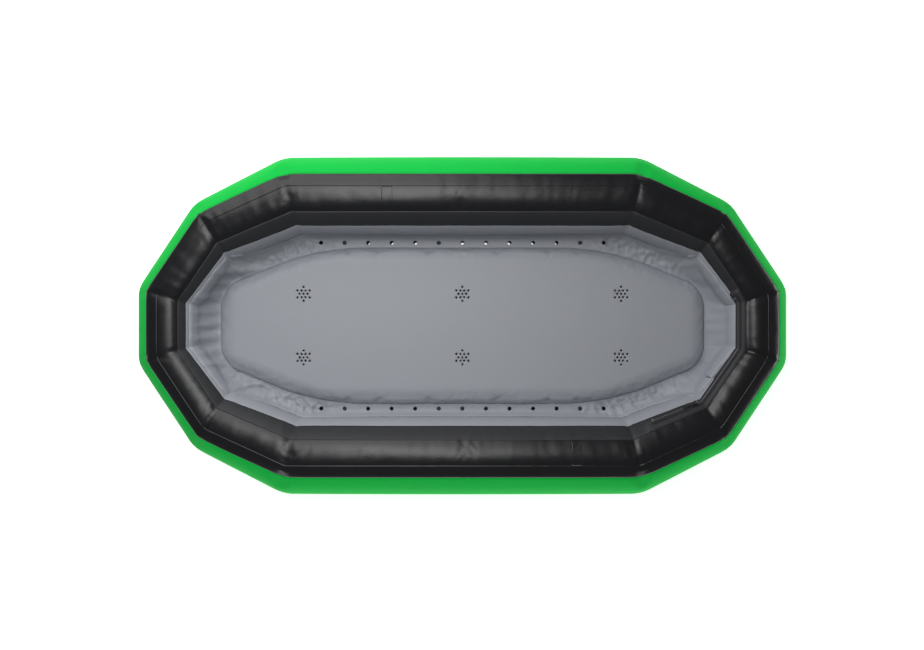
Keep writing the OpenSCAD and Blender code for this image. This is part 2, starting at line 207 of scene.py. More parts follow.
def coated_fabric(name, colour, shade, roughness, weave=0.25, blotch=0.12, gloss_change=0.1,
                  creases=0.0, specular=0.5, streaks=1.0, mapped=True):
    """colour is the coat's, shade its darker blotches. Patterns are in metres, on the piece's
    cloth map or, where it has none, on its own coordinates."""
    finish = Finish(name)
    cloth = finish.node("UVMap", {"uv_map": "cloth"}) if mapped else finish.coordinates()
    parts = finish.tree.nodes.new("ShaderNodeSeparateXYZ")
    finish.tree.links.new(cloth.socket, parts.inputs[0])
    along, across = Link(parts.outputs[0]), Link(parts.outputs[1])
    thread = 2 * pi / thread_pitch
    warp, weft = (along * thread).sine().size(), (across * thread).sine().size()
    here = finish.coordinates()
    cloud = finish.node("TexNoise", {}, {"Vector": here, "Scale": 7.0, "Detail": 5.0, "Roughness": 0.6})
    grain = finish.node("TexNoise", {}, {"Vector": here, "Scale": 420.0, "Detail": 2.0})
    streak = finish.node("TexNoise", {}, {
        "Vector": finish.node("VectorMath", {"operation": "MULTIPLY"}, {0: cloth, 1: (6.0, 240.0, 1.0)}),
        "Scale": 1.0, "Detail": 3.0})
    mix = (cloud - 0.5) * (blotch * 4) + (streak - 0.5) * (blotch * streaks)
    mix = mix + (grain - 0.5) * (blotch * 0.8) + 0.5
    mix = mix.maths("MINIMUM", mix.maths("MAXIMUM", mix, 0.0), 1.0)
    tint = finish.mixed(mix, (*shade, 1), (*colour, 1))
    height = (warp + weft) * 0.5 + (grain - 0.5) * 0.6
    normal = finish.bump(height, weave, 0.0002)
    if creases:
        slack = finish.node("TexNoise", {"noise_type": "RIDGED_MULTIFRACTAL"}, {
            "Vector": here, "Scale": 16.0, "Detail": 2.5, "Roughness": 0.5})
        normal = finish.bump(slack, creases, 0.004, normal)
    return finish.set(base_color=tint, roughness=(cloud - 0.5) * gloss_change + roughness,
                      normal=normal, specular_ior_level=specular)


green, green_shade = (0.004, 0.60, 0.072), (0.003, 0.55, 0.063)
green_coat = coated_fabric("green_coated_fabric", green, green_shade, 0.75, creases=0.04, blotch=0.08,
                           specular=0.18)
patch_coat = coated_fabric("tow_patch_fabric", green, green_shade, 0.75, blotch=0.08, specular=0.18,
                           mapped=False)
black_coat = coated_fabric("black_coated_fabric", (0.0100, 0.0105, 0.0125), (0.0065, 0.0068, 0.0085),
                           0.29, creases=0.25, specular=0.55)
tape_coat = coated_fabric("black_tape_fabric", (0.030, 0.031, 0.035), (0.022, 0.023, 0.026), 0.55,
                          creases=0.1)
grey_coat = coated_fabric("grey_coated_fabric", (0.41, 0.43, 0.47), (0.36, 0.378, 0.415), 0.5,
                          creases=0.1, streaks=2.5)
dark_coat = coated_fabric("dark_coated_fabric", (0.085, 0.087, 0.095), (0.062, 0.064, 0.07), 0.55,
                          creases=0.06)

# ---------------------------------------------------------------------------------------------
# Tube. One ring of twelve facets, mitred at each corner and welded from four long panels: green
# outside, glossy black on top, grey inside and dark grey below. Air holds it round and tight,
# and the fabric puckers where the mitre welds draw it in.
tube_middle_z = 0.124
tube_quarter = [(0.905, 0.090, 0.095), (0.767, 0.292, 0.103), (0.523, 0.399, 0.122)]
knee_mitre_turn = radians(7)
tube_corners = []
for side_x, side_y, back in ((1, 1, 0), (-1, 1, 1), (-1, -1, 0), (1, -1, 1)):
    for x, y, r in (tube_quarter[::-1] if back else tube_quarter):
        tube_corners.append((Vector((side_x * x, side_y * y)), r))


def tube_mitre(k):
    """Outward vector of corner k's mitre, as long as the tube's half width there."""
    here, r = tube_corners[k % 12]
    before, after = here - tube_corners[(k - 1) % 12][0], tube_corners[(k + 1) % 12][0] - here
    a, b = Vector((before.y, -before.x)).normalized(), Vector((after.y, -after.x)).normalized()
    out = (a + b).normalized()
    if k % 3 == 1:
        out.rotate(Matrix.Rotation(knee_mitre_turn * (1 if here.x * here.y > 0 else -1), 2))
    return out * (2 * r / (out.dot(a) + out.dot(b)))


tube_centre = np.array([[*tube_corners[k % 12][0], tube_corners[k % 12][1]] for k in range(13)])
tube_out = np.array([tube_mitre(k) for k in range(13)])


def along_tube(place):
    """Centre, outward vector and radius of the tube at places from 0 to 12."""
    k = np.minimum(np.floor(place).astype(int), 11)
    t = (place - k)[:, None]
    middle = tube_centre[k] * (1 - t) + tube_centre[k + 1] * t
    return middle[:, :2], tube_out[k] * (1 - t) + tube_out[k + 1] * t, middle[:, 2]


# angles of the panel edges and tape edges, above the outward horizontal, with columns between
panel_edges = [(-62, 1), (-58, 27), (58, 6), (81, 11), (120, 5), (138, 16), (204, 1), (206, 2), (214, 17),
               (286, 1), (292, 1), (294, 1), (298, 0)]
columns = []
for (a, n), (b, _) in zip(panel_edges, panel_edges[1:]):
    columns += [radians(a + (b - a) * j / n) for j in range(n)]
tube_row = 0.0085


def seam_angle(angle, k):
    """Angles are given for bow and stern. Along the sides the black panel lies further inboard."""
    shift = np.interp(degrees(angle), [-58, 58, 81, 120, 138, 204], [0, 7, 2, 0, 9, 0])
    return angle + radians(shift) * (0.0, 0.6, 1.0, 1.0, 0.6, 0.0)[k % 6]


skin = bmesh.new()
place_mark = skin.verts.layers.float.new("place")
turn_mark = skin.verts.layers.float.new("turn")
for k in range(12):
    hoops = []
    for j in (k, k + 1):
        middle, out, r = tube_centre[j], tube_out[j], tube_centre[j][2]
        hoop = bmesh.ops.create_circle(skin, segments=len(columns), radius=r)["verts"]
        for v, a in zip(hoop, columns):
            b = seam_angle(a, j)
            v.co = (middle[0] + out[0] * cos(b), middle[1] + out[1] * cos(b), tube_middle_z + r * sin(b))
            v[place_mark] = j
            v[turn_mark] = degrees(a)
        hoops.append(hoop)
    rims = {e for hoop in hoops for v in hoop for e in v.link_edges}
    bridge = bmesh.ops.bridge_loops(skin, edges=list(rims))
    length = np.linalg.norm(tube_centre[k + 1][:2] - tube_centre[k][:2])
    bmesh.ops.subdivide_edges(skin, edges=[e for e in bridge["edges"] if e not in rims],
                              cuts=int(length / tube_row) - 1)
bmesh.ops.remove_doubles(skin, verts=skin.verts, dist=0.0001)
bmesh.ops.recalc_face_normals(skin, faces=skin.faces)

places = np.array([v[place_mark] for v in skin.verts])
seam_turns = np.array([v[turn_mark] for v in skin.verts])
skin_rest = np.array([v.co for v in skin.verts])
middles, outs, radii = along_tube(places)
angles = np.degrees(np.arctan2(
    (skin_rest[:, 2] - tube_middle_z) / radii,
    ((skin_rest[:, :2] - middles) * outs).sum(1) / (outs ** 2).sum(1)))


def blow_up(shape, pressure, slack, held=None, drawn=None, frames=20, stiffness=40.0, bending=0.4):
    """Cloth simulation of the skin under air pressure. slack is how much larger the cloth is cut
    than its shape, held weighs the points that stay put, drawn the weld lines that stay short."""
    mesh = bpy.data.meshes.new("blow_up")
    shape.to_mesh(mesh)
    body = bpy.data.objects.new("blow_up", mesh)
    bpy.context.scene.collection.objects.link(body)
    air = body.modifiers.new("Cloth", "CLOTH")
    cloth = air.settings
    cloth.quality = 4
    cloth.mass = 0.3
    cloth.tension_stiffness = cloth.compression_stiffness = stiffness
    cloth.shear_stiffness = stiffness / 3
    cloth.bending_stiffness = bending
    cloth.use_pressure = True
    cloth.uniform_pressure_force = pressure
    cloth.effector_weights.gravity = 0
    cloth.shrink_min = -slack
    for name, weights in (("held", held), ("drawn", drawn)):
        if weights is None:
            continue
        group = body.vertex_groups.new(name=name)
        for level in np.unique(np.round(weights, 1)):
            if level > 0:
                points = np.flatnonzero(np.round(weights, 1) == level).tolist()
                group.add(points, float(level), "REPLACE")
        if name == "held":
            cloth.vertex_group_mass = name
        else:
            cloth.vertex_group_shrink = name
            cloth.shrink_max = 0.004
    air.point_cache.frame_start, air.point_cache.frame_end = 1, frames
    scene = bpy.context.scene
    for k in range(1, frames + 1):
        scene.frame_set(k)
    swollen = body.evaluated_get(bpy.context.evaluated_depsgraph_get()).to_mesh()
    found = np.zeros(len(swollen.vertices) * 3)
    swollen.vertices.foreach_get("co", found)
    scene.frame_set(1)
    bpy.data.objects.remove(body)
    return found.reshape(-1, 3)


def settled(piece):
    """The piece with its modifiers worked into its mesh."""
    bpy.context.view_layer.update()
    mesh = bpy.data.meshes.new_from_object(piece.evaluated_get(bpy.context.evaluated_depsgraph_get()))
    piece.modifiers.clear()
    old, piece.data = piece.data, mesh
    bpy.data.meshes.remove(old)
    return piece


facet_length = np.linalg.norm(np.diff(tube_centre[:, :2], axis=0), axis=1)
facet = np.minimum(np.floor(places).astype(int), 11)
to_mitre = np.abs(places - np.round(places)) * facet_length[facet]
turn = np.radians(angles)
outwards = outs / np.linalg.norm(outs, axis=1)[:, None]
away = np.column_stack([outwards * np.cos(turn)[:, None], np.sin(turn)])

# the zip, the valve and the tow patch need smooth cloth under them
zip_first_place, zip_last_place, zip_angle, zip_margin = 9.2, 0.2, 132.5, 9
fitting_reach = 0.05
angles_up = np.where(angles < -62, angles + 360, angles)
calm = ((places > zip_first_place) | (places < zip_last_place)) & (np.abs(angles_up - zip_angle) < zip_margin)
for fitting in ("tube_valve_flange", "tow_patch"):
    low_corner, high_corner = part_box(fitting)
    calm |= np.linalg.norm(skin_rest - np.array((low_corner + high_corner) / 2), axis=1) < fitting_reach

swollen = skin_rest
mitre_weld = 0.012
swollen = blow_up(skin, 6.0, 0.02, drawn=np.clip(1 - to_mitre / mitre_weld, 0, 1))
moved = swollen - skin_rest
proud = (moved * away).sum(1)
moved -= away * proud[:, None]
# the swelling of a straight tube grows with its radius squared, and is taken back
bend_reach = 0.06
straight = to_mitre > bend_reach
proud -= np.median(proud[straight] / radii[straight] ** 2) * radii ** 2

# creases: the bend squeezes the cloth beside each mitre, so it folds in bands round the tube,
# sharpest on the inner side, and the slanting facets keep a few across their whole length
mitre_fold, mitre_fine, mitre_reach, mitre_fade = 0.0042, 0.0012, 0.03, 2.718
band_wide, band_fold = 0.0015, 0.0006
band_of = np.tile([0.7, 1.0, 0.5, 1.0, 0.7, 0.25], 2)[facet]
girth = np.radians(angles_up) * radii
for k in range(len(skin_rest)):
    side = facet[k] * 3.7
    from_corner = (places[k] - facet[k]) * facet_length[facet[k]]
    near = mitre_fade ** (-to_mitre[k] / mitre_reach)
    fold = noise.noise(Vector((from_corner * 85 + side, girth[k] * 11, side)))
    wide = noise.noise(Vector((from_corner * 38 + side, girth[k] * 8, 5.0 + side)))
    fine = noise.noise(Vector((from_corner * 140, girth[k] * 34, side)))
    proud[k] -= near * (mitre_fold * abs(fold) + mitre_fine * fine)
    proud[k] += band_of[k] * (band_wide * wide + band_fold * fold)
deepest_crease, highest_fold = -0.012, 0.004
proud = np.clip(proud, deepest_crease, highest_fold)
# the outer panel is drawn round each corner in a short curve
corner_reach, corner_cut = 0.028, 0.0036
outer_side = np.clip((np.cos(turn) - 0.45) / 0.35, 0, 1)
proud -= corner_cut * np.clip(1 - to_mitre / corner_reach, 0, 1) ** 2 * outer_side
moved = np.clip(moved, -0.004, 0.004)
proud[calm] = np.clip(proud[calm], -0.001, 0.0)
moved[calm] *= 0.2
ground_gap = 0.0012
skin_now = skin_rest + moved + away * proud[:, None]
skin_now[:, 2] = np.maximum(skin_now[:, 2], ground_gap)
for v, point in zip(skin.verts, skin_now):
    v.co = point
skin.normal_update()

# cloth map in metres: along the tube and round its girth
run = np.concatenate([[0], np.cumsum(facet_length)])
cloth_map = skin.loops.layers.uv.new("cloth")
face_turn = np.zeros(len(skin.faces))
skin.faces.index_update()
skin.verts.index_update()
for face in skin.faces:
    marks = [v.index for v in face.verts]
    here = places[marks]
    if here.max() - here.min() > 6:
        here = np.where(here < 6, here + 12, here)
    bend = seam_turns[marks]
    if bend.max() - bend.min() > 180:
        bend = np.where(bend < 100, bend + 360, bend)
    face_turn[face.index] = bend.mean() if bend.mean() < 298 else bend.mean() - 360
    for loop, s, a in zip(face.loops, here, bend):
        k = min(int(s), 11)
        loop[cloth_map].uv = (run[k] + (s - k) * facet_length[k], radians(a) * 0.12)


def tube_strip(name, low, high, coat, thick, lift=0.0, finer=False, span=None):
    """The skin between two angles, cut out as a panel or, lifted off it, as a tape."""
    part = skin.copy()
    part.faces.ensure_lookup_table()
    away_from = [f for f in part.faces if not low < face_turn[f.index] < high]
    bmesh.ops.delete(part, geom=away_from, context="FACES")
    if span:
        for end in span[:2]:
            bmesh.ops.bisect_plane(part, geom=list(part.verts) + list(part.edges) + list(part.faces),
                                   plane_co=(end, 0, 0), plane_no=(1, 0, 0))
        beyond = [f for f in part.faces if not span[0] < f.calc_center_median().x < span[1]
                  or f.calc_center_median().y * span[2] < 0]
        bmesh.ops.delete(part, geom=beyond, context="FACES")
    for v in part.verts:
        v.co += v.normal * lift
    panel = piece_from(name + "_cloth", part, coat)
    if finer:
        round_off = panel.modifiers.new("round_off", "SUBSURF")
        round_off.levels = round_off.render_levels = 1
    wall = panel.modifiers.new("wall", "SOLIDIFY")
    wall.thickness = thick
    wall.offset = -1.0
    wall.use_even_offset = False
    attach(panel, "kayak")
    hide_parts(name)
    return panel


skin_thick, tape_thick = 0.0012, 0.0004
tape_lift = tape_thick * 0.6
tube_panels = [("outer_panel", -62, 58, green_coat, False, "green_fabric"),
               ("top_panel", 58, 138, black_coat, True, "black_fabric"),
               ("inner_panel", 138, 204, grey_coat, True, "grey_fabric"),
               ("bottom_panel", 204, 298, dark_coat, False, "dark_fabric")]
for name, low, high, coat, finer, paint in tube_panels:
    panel = tube_strip(name, low, high, coat, skin_thick, finer=finer)
    if name == "outer_panel":
        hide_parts("valve_panel")

# Seam tapes. Strips of the same coated fabric are welded over each panel edge, and a short lap
# tape runs across each side where the black panel's two lengths meet.
seam_tapes = [("outer_top_tape", 58, 81, black_coat, "black_fabric", None),
              ("inner_top_tape", 120, 138, tape_coat, "black_fabric", None),
              ("outer_bottom_tape", -66, -58, green_coat, "green_fabric", None),
              ("floor_tape", 206, 214, grey_coat, "grey_fabric", None),
              ("hull_tape", -74, -68, dark_coat, "dark_fabric", None),
              ("port_lap_seam", 81, 120, black_coat, "black_fabric", (-0.242, -0.210, 1)),
              ("starboard_lap_seam", 81, 120, black_coat, "black_fabric", (0.327, 0.359, -1))]
for name, low, high, coat, paint, span in seam_tapes:
    if low < -62:
        low, high = low + 360, min(high + 360, 298)
    tape = tube_strip(name, low, high, coat, tape_thick, lift=tape_lift, finer=True, span=span)

# ---------------------------------------------------------------------------------------------
# Air bladder. A clear film tube lies inside the skin and holds the air; only its zip lets it out.
# It rests against the cloth, so it follows every pucker a little further in.
def air_film(name, colour):
    finish = Finish(name)
    here = finish.coordinates()
    cloud = finish.node("TexNoise", {}, {"Vector": here, "Scale": 9.0, "Detail": 4.0})
    crinkle = finish.node("TexNoise", {}, {"Vector": here, "Scale": 130.0, "Detail": 3.0})
    tint = finish.mixed(cloud, (*colour, 1), (*[c * 0.85 for c in colour], 1))
    return finish.set(base_color=tint, roughness=cloud * 0.2 + 0.18,
                      normal=finish.bump(crinkle, 0.3, 0.0006), coat_weight=0.3)


film = air_film("bladder_film", (0.55, 0.57, 0.58))
bladder_shape = skin.copy()
for v in bladder_shape.verts:
    v.co -= v.normal * 0.0028
bladder = piece_from("air_bladder_film", bladder_shape, film)
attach(bladder, "kayak")
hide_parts("air_bladder")

# ---------------------------------------------------------------------------------------------
# Raised mat. A drop-stitch panel: two coated skins tied by thousands of threads, which keep it
# flat under air while its rim bulges. Both skins are welded to the floor sheet at half height.
mat_low, mat_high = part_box("mat_bottom_skin")[0].z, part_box("mat_top_skin")[1].z
mat_weld_z = (mat_low + mat_high) / 2
mat_half_x, mat_half_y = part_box("mat_top_skin")[1].x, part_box("mat_top_skin")[1].y
mat_bend_x, mat_bend = 0.4552, radians(22)
mat_wide, mat_tight = 0.7, 0.09  # corner radii at the bends and at the ends
mat_rim = 0.033  # radius of the rounded rim
mat_end_y = mat_half_y - (mat_half_x - mat_bend_x) * tan(mat_bend)


def mat_slab(low, high, inset, shoulder):
    """The mat's outline as a slab from height low to high, its rims rounded to shoulder."""
    slab = bmesh.new()
    x0, x1, y0, y1 = mat_bend_x, mat_half_x - inset, mat_half_y - inset, mat_end_y - inset
    ring = [(x0, y0), (-x0, y0), (-x1, y1), (-x1, -y1), (-x0, -y0), (x0, -y0), (x1, -y1), (x1, y1)]
    face = slab.faces.new([slab.verts.new((x, y, low)) for x, y in ring])
    for reach, radius, opening in ((x0, mat_wide, mat_bend), (x1, mat_tight, pi / 2 - mat_bend)):
        points = [v for v in slab.verts if abs(abs(v.co.x) - reach) < 0.001]
        bmesh.ops.bevel(slab, geom=points, offset=radius * tan(opening / 2), offset_type="OFFSET",
                        segments=8, profile=0.5, affect="VERTICES", material=-1)
    grown = bmesh.ops.extrude_face_region(slab, geom=list(slab.faces))["geom"]
    upper = [g for g in grown if isinstance(g, bmesh.types.BMVert)]
    bmesh.ops.translate(slab, vec=(0, 0, high - low), verts=upper)
    rims = [e for e in slab.edges if abs(e.verts[0].co.z - e.verts[1].co.z) < 1e-6]
    bmesh.ops.bevel(slab, geom=rims, offset=shoulder, offset_type="OFFSET", segments=6, profile=0.5,
                    affect="EDGES", material=-1, clamp_overlap=True)
    bmesh.ops.recalc_face_normals(slab, faces=slab.faces)
    return slab


def remeshed(shape, voxel):
    """The closed shape as one even mesh with faces about as long as voxel."""
    block = piece_from("remesh", shape, dark_coat)
    even = block.modifiers.new("even", "REMESH")
    even.mode, even.voxel_size = "VOXEL", voxel
    settled(block)
    again = bmesh.new()
    again.from_mesh(block.data)
    bpy.data.objects.remove(block)
    return again


mat_face, mat_inset = 0.007, 0.001
mat_shape = remeshed(mat_slab(mat_low + mat_inset, mat_high - mat_inset, 2 * mat_inset, mat_rim), mat_face)
mat_rest = np.array([v.co for v in mat_shape.verts])


def rim_distance(points):
    """How far inside the mat's outline each point lies, seen from above."""
    x, y = np.abs(points[:, 0]), np.abs(points[:, 1])
    slant = cos(mat_bend) * (mat_half_y - y) - sin(mat_bend) * (x - mat_bend_x)
    return np.minimum(np.minimum(mat_half_x - x, mat_half_y - y), slant)


inside = rim_distance(mat_rest)
mat_now = mat_rest
held = np.clip((inside - 0.018) / 0.035, 0, 1) * (np.abs(mat_rest[:, 2] - mat_weld_z) > 0.028)
weld = np.clip(1 - np.abs(mat_rest[:, 2] - mat_weld_z) / 0.008, 0, 1) * (inside < 0.02)
mat_now = blow_up(mat_shape, 4.0, 0.02, held=held, drawn=weld, stiffness=120.0, bending=0.1,
                  frames=16)
shift = mat_now - mat_rest
reach = np.linalg.norm(shift, axis=1)
shift *= (np.minimum(reach, 0.006) / np.maximum(reach, 1e-9))[:, None]
by_weld = (np.abs(mat_rest[:, 2] - mat_weld_z) < 0.012) & (inside < 0.02)
shift[by_weld] *= 0.3
mat_now = mat_rest + shift
# the rim bulges in a wide, low curve rather than a half round
shoulder_width, rim_round = 0.056, 0.034
deep_in = np.clip(inside, 0.0005, None)
wide_curve = np.sqrt(1 - (1 - np.clip(deep_in / shoulder_width, 0, 1)) ** 2)
round_curve = np.sqrt(1 - (1 - np.clip(deep_in / rim_round, 0, 1)) ** 2)
mat_now[:, 2] = mat_weld_z + (mat_now[:, 2] - mat_weld_z) * wide_curve / round_curve
# a slack, hand-laid look: low waves where the threads let the skin lift between their rows
waves = np.array([noise.noise(Vector((p[0] * 3.0, p[1] * 5.0, p[2] * 9.0))) for p in mat_rest])
mat_now[:, 2] += 0.0005 * waves * np.sign(mat_rest[:, 2] - mat_weld_z)
for v, point in zip(mat_shape.verts, mat_now):
    v.co = point
mat_map = mat_shape.loops.layers.uv.new("cloth")
for face in mat_shape.faces:
    for loop in face.loops:
        loop[mat_map].uv = (loop.vert.co.x, loop.vert.co.y + loop.vert.co.z)


def punched(piece, holes, diameter, low, high):
    """The piece with round holes cut through it between two heights."""
    punch = bmesh.new()
    for x, y in holes:
        bmesh.ops.create_cone(punch, cap_ends=True, segments=16, radius1=diameter / 2,
                              radius2=diameter / 2, depth=high - low,
                              matrix=Matrix.Translation((x, y, (low + high) / 2)))
    cutter = piece_from("punch", punch, dark_coat)
    cut = piece.modifiers.new("cut", "BOOLEAN")
    cut.operation, cut.object, cut.solver = "DIFFERENCE", cutter, "EXACT"
    settled(piece)
    bpy.data.objects.remove(cutter)
    return piece


drain_centres = [(x, y) for x in (-0.5, 0, 0.5) for y in (-0.1, 0.1)]
drain_width, outlet_turn = 0.0065, 0.26
cluster = [Vector((0, 0))]
for ring_radius, start in ((0.012, 0), (0.022, 30)):
    for k in range(6):
        angle = radians(60 * k + start)
        cluster.append(Vector((ring_radius * cos(angle), ring_radius * sin(angle))))
drain_holes = [(x + d.x, y + d.y) for x, y in drain_centres for d in cluster]
for d in cluster:
    d.rotate(Matrix.Rotation(outlet_turn, 2))
outlets = [(x + d.x, y + d.y) for x, y in drain_centres for d in cluster]
mat_coat = coated_fabric("mat_coated_fabric", (0.40, 0.418, 0.458), (0.362, 0.378, 0.415), 0.45,
                         weave=0.5, blotch=0.14, creases=0.05, streaks=3.0)
valve_at = (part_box("mat_valve_flange")[0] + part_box("mat_valve_flange")[1]) / 2
valve_hole, weld_gap = 0.0686, 0.0004
for name, up, coat, paint, holes in (("mat_top_skin", 1, mat_coat, "grey_fabric", drain_holes),
                                     ("mat_bottom_skin", -1, dark_coat, "dark_fabric", outlets)):
    half = mat_shape.copy()
    bmesh.ops.bisect_plane(half, geom=list(half.verts) + list(half.edges) + list(half.faces),
                           plane_co=(0, 0, mat_weld_z + up * weld_gap), plane_no=(0, 0, up),
                           clear_inner=True)
    mat_skin = piece_from(name + "_cloth", half, coat)
    wall = mat_skin.modifiers.new("wall", "SOLIDIFY")
    wall.thickness, wall.offset = skin_thick, -1.0
    face_z = mat_weld_z + up * 0.04
    punched(mat_skin, holes, drain_width, face_z - 0.012, face_z + 0.012)
    if up < 0:
        punched(mat_skin, [(valve_at.x, valve_at.y)], valve_hole, mat_low - 0.01, mat_low + 0.01)
    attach(mat_skin, "kayak")
    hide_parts(name)

# ---------------------------------------------------------------------------------------------
# Floor sheet. A flat sheet of the grey fabric is welded round the mat at half its height and to
# the tube's inner wall. Water leaves through a row of bail holes on each side. At bow and stern
# it has slack to climb from the mat to the wall, and lies in soft folds.
floor_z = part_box("floor_sheet")[1].z
outline_shape = mat_slab(mat_low, mat_high, 0.0, mat_rim)
outline_parts = list(outline_shape.verts) + list(outline_shape.edges) + list(outline_shape.faces)
bmesh.ops.bisect_plane(outline_shape, geom=outline_parts, plane_co=(0, 0, mat_weld_z), plane_no=(0, 0, 1),
                       clear_inner=True)
weld_edges = [e for e in outline_shape.edges if e.is_boundary]
bmesh.ops.subdivide_edges(outline_shape, edges=[e for e in weld_edges if e.calc_length() > 0.02], cuts=40)
weld_line = np.array([v.co[:2] for v in outline_shape.verts if v.is_boundary])
weld_line = weld_line[np.argsort(np.arctan2(weld_line[:, 1], weld_line[:, 0]))]
outline_shape.free()


def nearest_on_weld(point):
    """The closest point of the weld line round the mat."""
    a, b = weld_line, np.roll(weld_line, -1, axis=0)
    t = ((point - a) * (b - a)).sum(1) / np.maximum(((b - a) ** 2).sum(1), 1e-12)
    on = a + (b - a) * np.clip(t, 0, 1)[:, None]
    return on[np.argmin(((on - point) ** 2).sum(1))]


def wall_point(place, angle):
    """The point on the tube at a place and an angle."""
    middle, out, r = (q[0] for q in along_tube(np.array([place % 12])))
    return np.array([*(middle + out * cos(angle)), tube_middle_z + r * sin(angle)])


sheet_step, sheet_rows = 0.0045, 14
sheet_places = []
for k in range(12):
    n = int(facet_length[k] * 0.9 / sheet_step)
    sheet_places += [k + j / n for j in range(n)]
n_round = len(sheet_places)
# how far up the wall the sheet is welded: low along the sides, high across bow and stern
climb_x, climb_length = 0.56, 0.20
side_wall_angle, end_wall_angle = 187, 142
end_weight = []
for place in sheet_places:
    x = abs(wall_point(place, pi)[0])
    rise = min(max((x - climb_x) / climb_length, 0), 1)
    end_weight.append(rise * rise * (3 - 2 * rise))
end_weight = np.array(end_weight)
wall_angles = np.radians(side_wall_angle + (end_wall_angle - side_wall_angle) * end_weight)
wall_edge = np.array([wall_point(s, a) for s, a in zip(sheet_places, wall_angles)])
# the rim follows the blown-up wall
wall_tree = kdtree.KDTree(len(skin_rest))
for k, p in enumerate(skin_rest):
    wall_tree.insert(p, k)
wall_tree.balance()
for k, p in enumerate(wall_edge):
    nearest = wall_tree.find(p)[1]
    wall_edge[k] = p + skin_now[nearest] - skin_rest[nearest]
mat_edge = np.array([nearest_on_weld(p[:2]) for p in wall_edge])
spoke = wall_edge[:, :2] - mat_edge
weld_tuck = 0.0025
mat_edge -= weld_tuck * spoke / np.linalg.norm(spoke, axis=1)[:, None]

sheet = bmesh.new()
rims = []
for edge, z in ((mat_edge, floor_z), (wall_edge, None)):
    hoop = bmesh.ops.create_circle(sheet, segments=n_round, radius=1)["verts"]
    for v, p in zip(hoop, edge):
        v.co = (p[0], p[1], floor_z if z is not None else max(p[2], floor_z))
    rims.append(hoop)
rim_edges = {e for hoop in rims for v in hoop for e in v.link_edges}
bridge = bmesh.ops.bridge_loops(sheet, edges=list(rim_edges))
across = [e for e in bridge["edges"] if e not in rim_edges]
bmesh.ops.subdivide_edges(sheet, edges=across, cuts=sheet_rows - 1)
sheet.verts.ensure_lookup_table()
flat_area = sum(f.calc_area() for f in sheet.faces)

# folds: soft ones across the stern, fewer across the bow, and tight puckers where the weld bends
# round the mat
stern_folds, bow_folds = 1.0, 0.3
ridge_height, fine_height, pucker_height, side_pucker = 0.0058, 0.0040, 0.0110, 0.0010
sheet_rest = np.array([v.co for v in sheet.verts])
x = np.abs(sheet_rest[:, 0])
from_mat = np.array([np.linalg.norm(p[:2] - nearest_on_weld(p[:2])) for p in sheet_rest])
half_long, half_wide = 0.80, 0.32
sheet_turn = np.arctan2(sheet_rest[:, 1] / half_wide, sheet_rest[:, 0] / half_long)
rim_turn = np.arctan2(wall_edge[:, 1] / half_wide, wall_edge[:, 0] / half_long)
nearest_rim = np.array([np.argmin(np.abs(rim_turn - a)) for a in sheet_turn])
width_there = np.linalg.norm((wall_edge[:, :2] - mat_edge)[nearest_rim], axis=1)
share = np.clip(from_mat / np.maximum(width_there, 0.01), 0, 1)
belly = np.sin(pi * share) ** 0.8
at_end = end_weight[nearest_rim]
skin.verts.ensure_lookup_table()
skin_tree = kdtree.KDTree(len(skin_now))
for k, p in enumerate(skin_now):
    skin_tree.insert(p, k)
skin_tree.balance()
side_cove, end_cove, deepest_sag, cloth_gap = 6.0, 1.6, 0.018, 0.0018
cove = side_cove - (side_cove - end_cove) * at_end
climb = (wall_edge[nearest_rim, 2] - floor_z) * share ** cove
for k, v in enumerate(sheet.verts):
    p = v.co.copy()
    strength = at_end[k] * (stern_folds if p.x < 0 else bow_folds)
    drift = noise.noise(Vector((p.x * 5.0, p.y * 9.0, 2.5))) * 5.0
    ridge = sin(p.y * 150.0 + drift) + 0.5 * sin(p.y * 87.0 - drift)
    fine = noise.noise(Vector((p.x * 18.0, p.y * 70.0, 4.2)))
    pucker = noise.noise(Vector((p.x * 70.0, p.y * 70.0, 1.3)))
    bend_near = max(0.0, 1 - abs(x[k] - 0.60) / 0.19) + max(0.0, 1 - abs(x[k] - 0.46) / 0.10)
    fold = strength * (ridge_height * ridge + fine_height * fine)
    fold += (min(bend_near, 1.0) * pucker_height + side_pucker) * pucker
    v.co.z = max(floor_z + climb[k] + fold * belly[k], floor_z - deepest_sag)
    if at_end[k] > 0.02 and 0.3 < share[k]:
        # across bow and stern the sheet lies on the tube's bulge, and its folds run up to the edge
        _, nearest, gap = skin_tree.find(v.co)
        out = skin.verts[nearest].normal
        depth = (v.co - skin.verts[nearest].co).dot(out)
        clear = cloth_gap + max(0.0, 1.5 * fold) * (1 - share[k])
        if gap < 0.03 and depth < clear:
            v.co += out * (clear - depth) * at_end[k]
sheet_map = sheet.loops.layers.uv.new("cloth")
for face in sheet.faces:
    for loop in face.loops:
        loop[sheet_map].uv = (loop.vert.co.x, loop.vert.co.y)
bmesh.ops.recalc_face_normals(sheet, faces=sheet.faces)
if sum(f.normal.z for f in sheet.faces) < 0:
    bmesh.ops.reverse_faces(sheet, faces=sheet.faces)
floor_cloth = piece_from("floor_sheet_cloth", sheet, grey_coat)
wall = floor_cloth.modifiers.new("wall", "SOLIDIFY")
wall.thickness, wall.offset = skin_thick, -1.0
bail_pitch, bail_y, bail_width = 0.075, 0.264, 0.0125
bail_holes = [((k - 6) * bail_pitch, side * bail_y) for side in (1, -1) for k in range(13)]
punched(floor_cloth, bail_holes, bail_width, floor_z - 0.015, floor_z + 0.015)
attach(floor_cloth, "kayak")
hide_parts("floor_sheet")
ring_length = np.linalg.norm(np.diff(np.vstack([mat_edge, mat_edge[:1]]), axis=0), axis=1).sum()
flat_area / ring_length

